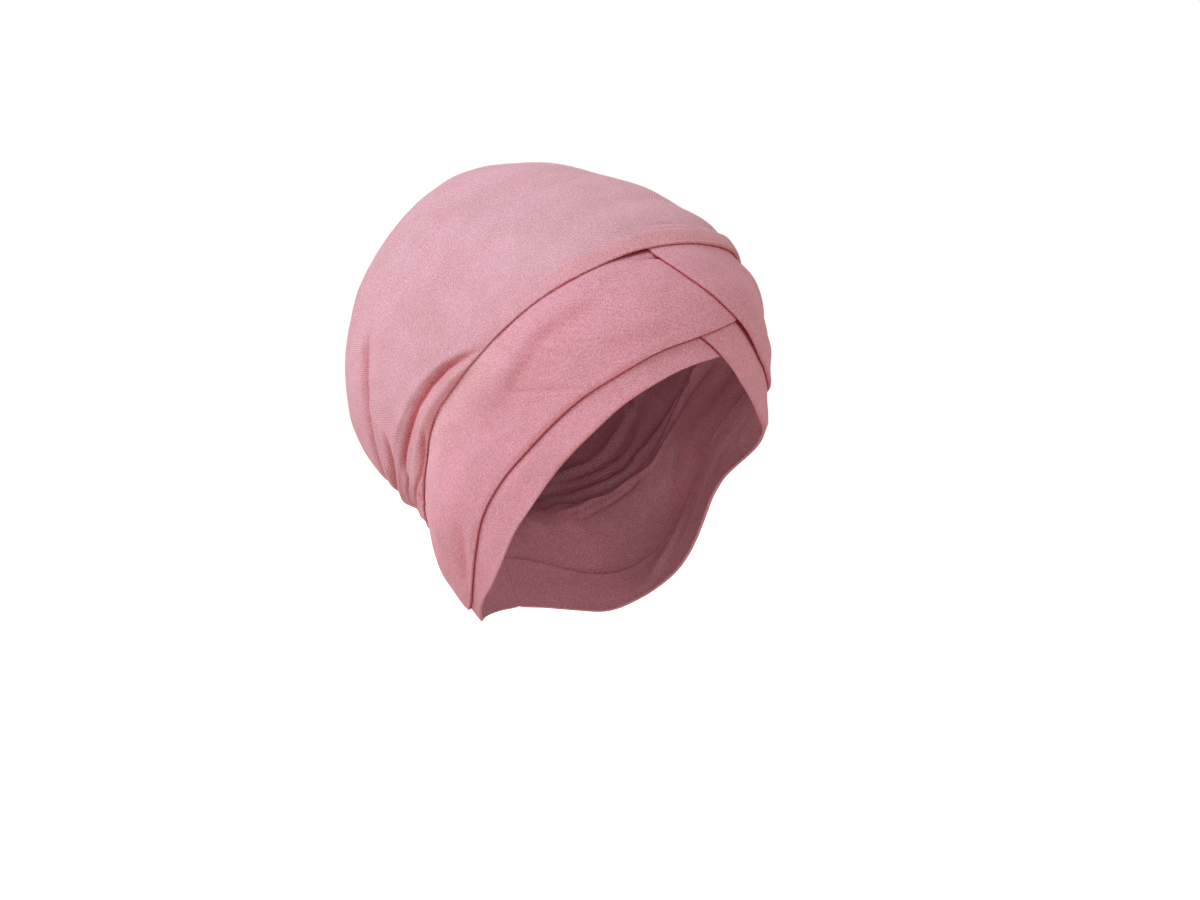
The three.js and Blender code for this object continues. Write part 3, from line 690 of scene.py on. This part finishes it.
def band_mesh(name, shape):
    """A folded band: a strip from its hidden start to the nape, with a rounded fold along its free edge."""
    band = BANDS[name]
    upper = band["over"] is None
    thick = shape.band_wall / MM
    ply = thick + AIR
    front = np.linspace(band["start"], BAND_FRONT, BAND_COLUMNS[0])
    behind = np.linspace(BAND_FRONT, 180 - NAPE_SEAM, BAND_COLUMNS[1])[1:]
    rounds = np.concatenate([front, behind])
    if band["side"] < 0:
        rounds = rounds[::-1]
    turn = band["side"] * rounds
    top, edge = band_top(name, rounds), band_edge(name, rounds)
    thin = radius(turn, edge) * math.radians(1)

    drops = top[:, None] + (edge - top)[:, None] * row_shares(BAND_ROWS)
    outer, fold, fold_share = profile(drops, thin, edge, thick)
    drop = np.hstack([outer, fold, outer[:, ::-1]])
    share = np.hstack([np.ones_like(outer), fold_share, np.zeros_like(outer)])
    turns = np.broadcast_to(turn[:, None], drop.shape)
    past = (drop - edge[:, None]) * thin[:, None]
    columns, rows = drop.shape

    lift = sum((ply * covers(other, turns, drop) for other in band["under"]), np.zeros(drop.shape))
    covering = ["crown"] + [other for other in BANDS if name in BANDS[other]["under"]]
    covering += [] if upper or band["over"] in covering else [band["over"]]
    own = sink(turns, drop, covering)
    if name == "upper_right_band":
        own = own + crease_height(PLEAT, turns, drop)
    settle = 0.0
    if upper:
        settle = ease((drop - edge[:, None] + SETTLE_RUN) / SETTLE_RUN)
        settle = settle * (AIR + along(SINK, rounds)[:, None])
    puff, puff_reach = EDGE_ROLL
    groove, groove_reach = NAPE_GROOVE
    from_nape = np.radians(180 - np.abs(turns)) * radius(turns, drop) * np.sin(np.radians(drop))
    thickness = thick + puff * bell(past, puff_reach) - groove * bell(from_nape, groove_reach)
    height = lift + relief(turns, drop) + own - settle + share * thickness
    points = on_form(turns, drop, height).reshape(-1, 3)

    faces = grid_faces(columns, rows, False, True).tolist()
    flat_from = len(faces)
    near = np.arange(rows // 2 - 1)
    far = rows - 1 - near
    last = (columns - 1) * rows
    faces += np.stack([near, far, far - 1, near + 1], -1).tolist()
    faces += (last + np.stack([near, near + 1, far - 1, far], -1)).tolist()

    uv = np.stack([np.radians(turns) * BAND_UV_RADIUS, radius(turns, drop) * np.radians(drop)], -1)
    # Painted shade: redder and darker in the folds, the pleat and along the free edge, on the outer face and
    # the fold's upper half
    deep = painted_fold_shade(turns, drop)
    if name == "upper_right_band":
        # painted shade in the pleat, in proportion to how far the cloth sinks here
        deep = np.maximum(deep, PLEAT.fold_shade * own / min(-0.1, own.min()))
    deep = np.maximum(deep, edge_strip(TURN_SHADE, past, turns)) * ease(share / 0.5)
    # Painted light: paler along the crown's edge at the sides
    pale = edge_strip(PAINTED_LIGHT_STRIP, (drop - crown_edge(turns)) * thin[:, None], turns)
    # Painted shade: dark red lines along the edges that cover the band, in the nape groove and under its own
    # fold
    strength, reach = NAPE_SHADE
    nape = strength * ease(1 - np.abs(from_nape) / reach)
    line = np.maximum(seam(turns, drop, covering), nape) * ease(share / 0.2)
    if upper:
        line = np.maximum(line, fold_edge_shade(share, past, thick))
    tones = {"hem_or_unlit": 1 - 0.9 * pale, "deep": deep, "seam": line}
    tones = {key: values.ravel() for key, values in tones.items()}
    piece = name.replace("band", "jersey_band")
    return mesh_piece(piece, points, faces, uv.reshape(-1, 2), tones, flat_from)


def new_material(name):
    """A material with an empty node tree."""
    material = bpy.data.materials.new(name)
    material.use_nodes = True
    material.node_tree.nodes.clear()
    return material, material.node_tree


def jersey(name, single_or_lit_colour, layered_colour, cloth, wale_depth):
    """Cotton jersey knit: matt, slightly fuzzy and softly mottled, with painted shade that makes it redder
    where a fold catches light and dark red along the edges, and painted light on the bands by the crown.
    """
    material, tree = new_material(name)
    where = add_node(tree, "ShaderNodeTexCoord")
    uv = add_node(tree, "ShaderNodeUVMap", {"uv_map": "cloth"})
    hem_or_unlit, deep, line = [
        add_node(tree, "ShaderNodeAttribute", {"attribute_name": key}).outputs["Fac"]
        for key in ("hem_or_unlit", "deep", "seam")]
    # The wales and courses are drawn wider apart than the real 0.7 mm, so that they show.
    wales, courses = [
        add_node(tree, "ShaderNodeTexWave", {
            "wave_type": "BANDS", "bands_direction": axis, "wave_profile": "SIN"}, {
            "Vector": uv.outputs[0], "Scale": ONE_WAVE / cloth.wale_pitch, "Distortion": 0.8,
            "Detail": 1.0, "Detail Scale": 0.5}).outputs["Fac"]
        for axis in "XY"]
    # How unlike the two are makes a chequer of stitches.
    unlike = add_node(tree, "ShaderNodeMath", {"operation": "SUBTRACT"}, {0: wales, 1: courses})
    stitch = add_node(tree, "ShaderNodeMath", {"operation": "ABSOLUTE"}, {0: unlike.outputs[0]})
    grain, mottle = [
        add_node(tree, "ShaderNodeTexNoise", None, {
            "Vector": where.outputs["Object"], "Scale": 1 / size, "Detail": detail,
            "Roughness": roughness}).outputs["Fac"]
        for size, detail, roughness in ((GRAIN_SIZE, 1.0, 0.5), (MOTTLE_SIZE, 4.0, 0.62))]

    # What each share or factor comes from, between which two values, and the two that they become.
    warm, folded, edge_shaded, speckle, grain_saturation, knit, cloud = [
        add_node(tree, "ShaderNodeMapRange", None, dict(enumerate(values))).outputs[0]
        for values in (
            (mottle, 0.38, 0.66, 0.0, 0.35),
            (deep, 0.05, 1.0, 0.0, 0.95),
            (line, 0.0, 1.0, 0.0, 0.92),
            (grain, 0.3, 0.7, 0.86, 1.14),
            # the grain makes its lighter specks less saturated and its darker ones more
            (grain, 0.3, 0.7, 1.22, 0.78),
            (stitch.outputs[0], 0.0, 1.0, 1 + 0.6 * wale_depth, 1 - wale_depth),
            (mottle, 0.3, 0.7, 1.05, 0.94),
        )]
    colour = tuple(single_or_lit_colour)
    # Painted light and shade join the cloth's own colours here: the hem's share on the crown, and the bands'
    # own colour away from their painted light; the mottling; painted shade in the folds; painted shade along
    # the edges.
    for share, next_colour in (
            (hem_or_unlit, layered_colour), (warm, cloth.mottle), (folded, cloth.valley), (edge_shaded, cloth.seam)):
        colour = add_node(tree, "ShaderNodeMix", {"data_type": "RGBA"}, {
            0: share, 6: colour, 7: tuple(next_colour)}).outputs[2]
    value = speckle
    for factor in (knit, cloud):
        value = add_node(tree, "ShaderNodeMath", {"operation": "MULTIPLY"}, {
            0: value, 1: factor}).outputs[0]
    hue = add_node(tree, "ShaderNodeHueSaturation", None, {
        "Saturation": grain_saturation, "Value": value, "Color": colour})

    ridge = add_node(tree, "ShaderNodeMath", {"operation": "MULTIPLY_ADD"}, {
        0: grain, 1: 0.6, 2: stitch.outputs[0]})
    bump = add_node(tree, "ShaderNodeBump", None, {
        "Strength": 0.35, "Distance": 0.0002, "Height": ridge.outputs[0]})
    shader = add_node(tree, "ShaderNodeBsdfPrincipled", None, {
        "Base Color": hue.outputs[0], "Roughness": 0.92, "IOR": 1.45, "Specular IOR Level": 0.2,
        "Sheen Weight": cloth.sheen, "Sheen Roughness": 0.45, "Sheen Tint": srgb("#F3D3DA"),
        "Normal": bump.outputs[0]})
    add_node(tree, "ShaderNodeOutputMaterial", None, {"Surface": shader.outputs[0]})
    return material


def plain(name, colour, bounce, roughness, glow):
    """A matt studio surface with a faint mottling.

    The camera sees its colour, with a glow that keeps it white in soft light, and the piece gets the
    bounce of a warm room.
    """
    material, tree = new_material(name)
    where = add_node(tree, "ShaderNodeTexCoord")
    mottle = add_node(tree, "ShaderNodeTexNoise", None, {
        "Vector": where.outputs["Object"], "Scale": 1 / FLOOR_MOTTLE})
    tone = add_node(tree, "ShaderNodeMapRange", None, {
        0: mottle.outputs["Fac"], 1: 0.3, 2: 0.7, 3: 0.99, 4: 1.0})
    seen = add_node(tree, "ShaderNodeLightPath").outputs["Is Camera Ray"]
    shown = add_node(tree, "ShaderNodeMix", {"data_type": "RGBA"}, {0: seen, 6: bounce, 7: colour})
    hue = add_node(tree, "ShaderNodeHueSaturation", None, {
        "Value": tone.outputs[0], "Color": shown.outputs[2]})
    strength = add_node(tree, "ShaderNodeMath", {"operation": "MULTIPLY"}, {0: seen, 1: glow})
    shader = add_node(tree, "ShaderNodeBsdfPrincipled", None, {
        "Base Color": hue.outputs[0], "Roughness": roughness, "Specular IOR Level": 0.0,
        "Emission Color": srgb(GLOW_COLOUR), "Emission Strength": strength.outputs[0]})
    add_node(tree, "ShaderNodeOutputMaterial", None, {"Surface": shader.outputs[0]})
    return material


class CapShape(bpy.types.PropertyGroup):
    band_wall: bpy.props.FloatProperty(
        name="Band thickness", description="Thickness of a folded band",
        default=1.6 * MM, min=1.2 * MM, max=2.0 * MM, unit="LENGTH")
    crown_wall: bpy.props.FloatProperty(
        name="Crown thickness", description="Thickness of the crown's single layer",
        default=1.2 * MM, min=1.0 * MM, max=1.6 * MM, unit="LENGTH")
    hem_wall: bpy.props.FloatProperty(
        name="Hem thickness", description="Thickness of the crown's turned edge",
        default=1.5 * MM, min=1.2 * MM, max=3.0 * MM, unit="LENGTH")
    hem_width: bpy.props.FloatProperty(
        name="Hem width", description="Width of the crown's turned edge",
        default=11 * MM, min=6 * MM, max=13 * MM, unit="LENGTH")


class CapCloth(bpy.types.PropertyGroup):
    single: bpy.props.FloatVectorProperty(
        name="Crown", description="Colour of the crown's single layer",
        default=srgb("#D4ABC1"), **COLOUR)
    hem: bpy.props.FloatVectorProperty(
        name="Hem", description="Colour of the crown's turned edge",
        default=srgb("#D6A2B2"), **COLOUR)
    double: bpy.props.FloatVectorProperty(
        name="Bands", description="Colour of the folded bands",
        default=srgb("#D5A0B7"), **COLOUR)
    # Painted light: the colour the bands are drawn in where the light falls on them by the crown
    pale: bpy.props.FloatVectorProperty(
        name="Bands by the crown",
        description="Colour of the bands where they come out from under the crown at the sides",
        default=srgb("#E4BACD"), **COLOUR)
    mottle: bpy.props.FloatVectorProperty(
        name="Mottling", description="Colour that the cloth shifts to in soft patches",
        default=srgb("#D5A4B2"), **COLOUR)
    valley: bpy.props.FloatVectorProperty(
        name="Folds", description="Colour deep in a fold, where light bounces from cloth to cloth",
        default=srgb("#C1656D"), **COLOUR)
    # Painted shade: the dark red line in the crease along each piece's edge
    seam: bpy.props.FloatVectorProperty(
        name="Edges", description="Colour in the crease along a piece's edge",
        default=srgb("#B23F49"), **COLOUR)
    wale_pitch: bpy.props.FloatProperty(
        name="Wale pitch", description="Distance from one drawn column of stitches to the next",
        default=1.7 * MM, min=0.5 * MM, max=4 * MM, unit="LENGTH")
    sheen: bpy.props.FloatProperty(
        name="Fuzz", description="How much the surface fuzz catches the light",
        default=0.25, min=0, max=1, subtype="FACTOR")


class CapStage(bpy.types.PropertyGroup):
    floor_colour: bpy.props.FloatVectorProperty(
        name="Floor", description="Colour of the floor", default=srgb("#F6F6F6"), **COLOUR)
    key_power: bpy.props.FloatProperty(
        name="Key light", description="Power of the large light at the upper left",
        default=20, min=0, unit="POWER")


class CAP_OT_crown(bpy.types.Operator):
    """Make the baggy crown with its hem"""
    bl_idname = "undercap.crown"
    bl_label = "Crown"

    def execute(self, context):
        scene = context.scene
        crown = crown_mesh(scene.cap_shape)
        cloth = scene.cap_cloth
        material = jersey("cotton_jersey_single_knit", cloth.single, cloth.hem, cloth, CROWN_WALES)
        crown.data.materials.append(material)
        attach(crown, "root")
        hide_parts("crown")
        return {"FINISHED"}


class CAP_OT_bands(bpy.types.Operator):
    """Make the four folded bands that cross over the brow"""
    bl_idname = "undercap.bands"
    bl_label = "Bands"

    def execute(self, context):
        scene = context.scene
        cloth = scene.cap_cloth
        material = jersey("cotton_jersey_folded_knit", cloth.pale, cloth.double, cloth, BAND_WALES)
        for name in BANDS:
            band = band_mesh(name, scene.cap_shape)
            band.data.materials.append(material)
            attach(band, "root")
            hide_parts(name)
        return {"FINISHED"}


class CAP_OT_stage(bpy.types.Operator):
    """Set the pale floor, the soft lights and the camera"""
    bl_idname = "undercap.stage"
    bl_label = "Stage"

    def execute(self, context):
        scene = context.scene
        stage = scene.cap_stage
        bpy.ops.mesh.primitive_grid_add(
            size=FLOOR_SIZE, x_subdivisions=2, y_subdivisions=2, location=(0, 0, FLOOR_HEIGHT))
        floor = context.object
        floor.name = "floor"
        floor.data.materials.append(plain(
            "matt_white_studio_floor", tuple(stage.floor_colour), srgb(FLOOR_BOUNCE), 0.9, FLOOR_GLOW))

        azimuth, elevation = math.radians(CAMERA_AZIMUTH), math.radians(CAMERA_ELEVATION)
        back = Vector((math.sin(azimuth) * math.cos(elevation),
                       -math.cos(azimuth) * math.cos(elevation), math.sin(elevation)))
        right = Vector((math.cos(azimuth), math.sin(azimuth), 0))
        up = back.cross(right)
        lens = bpy.data.cameras.new("camera")
        lens.lens, lens.sensor_width = 78.75, 36.0
        lens.clip_end = 100
        camera = bpy.data.objects.new("camera", lens)
        camera.location = right * CAMERA_AIM[0] + up * CAMERA_AIM[1] + back * CAMERA_DISTANCE
        camera.rotation_mode = "QUATERNION"
        camera.rotation_quaternion = (-back).to_track_quat("-Z", "Y")
        scene.collection.objects.link(camera)
        scene.camera = camera

        middle = Vector((0, 0.03, 0))
        for name, (along_right, along_up, along_back), size, share, colour in LIGHTS:
            lamp = bpy.data.lights.new(name, "AREA")
            lamp.shape, lamp.size = "DISK", size
            lamp.energy, lamp.color = stage.key_power * share, srgb(colour)[:3]
            obj = bpy.data.objects.new(name, lamp)
            obj.location = middle + right * along_right + up * along_up + back * along_back
            obj.rotation_mode = "QUATERNION"
            obj.rotation_quaternion = (middle - obj.location).to_track_quat("-Z", "Y")
            scene.collection.objects.link(obj)

        world = bpy.data.worlds.new("studio")
        world.use_nodes = True
        tree = world.node_tree
        tree.nodes.clear()
        seen = add_node(tree, "ShaderNodeLightPath").outputs["Is Camera Ray"]
        tone = add_node(tree, "ShaderNodeMix", {"data_type": "RGBA"}, {
            0: seen, 6: ROOM_LIGHT, 7: (1, 1, 1, 1)})
        sky = add_node(tree, "ShaderNodeBackground", None, {"Color": tone.outputs[2], "Strength": 1.0})
        add_node(tree, "ShaderNodeOutputWorld", None, {"Surface": sky.outputs[0]})
        scene.world = world
        scene.view_settings.view_transform = "Standard"
        return {"FINISHED"}


class CAP_PT_panel(bpy.types.Panel):
    bl_label = "Under-cap"
    bl_idname = "CAP_PT_panel"
    bl_space_type = "VIEW_3D"
    bl_region_type = "UI"
    bl_category = "Under-cap"

    def draw(self, context):
        layout = self.layout
        scene = context.scene
        for group in (scene.cap_shape, scene.cap_cloth, scene.cap_stage):
            for key in type(group).__annotations__:
                layout.prop(group, key)
        for operator in OPERATORS:
            layout.operator(operator.bl_idname)


OPERATORS = (CAP_OT_crown, CAP_OT_bands, CAP_OT_stage)
CLASSES = (CapShape, CapCloth, CapStage) + OPERATORS + (CAP_PT_panel,)


def register():
    for kind in CLASSES:
        bpy.utils.register_class(kind)
    bpy.types.Scene.cap_shape = bpy.props.PointerProperty(type=CapShape)
    bpy.types.Scene.cap_cloth = bpy.props.PointerProperty(type=CapCloth)
    bpy.types.Scene.cap_stage = bpy.props.PointerProperty(type=CapStage)


def unregister():
    for key in ("cap_shape", "cap_cloth", "cap_stage"):
        delattr(bpy.types.Scene, key)
    for kind in reversed(CLASSES):
        bpy.utils.unregister_class(kind)


def main():
    """Registers the add-on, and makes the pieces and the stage."""
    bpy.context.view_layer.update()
    register()
    bpy.ops.undercap.crown()
    bpy.ops.undercap.bands()
    bpy.ops.undercap.stage()


if __name__ == "__main__":
    main()
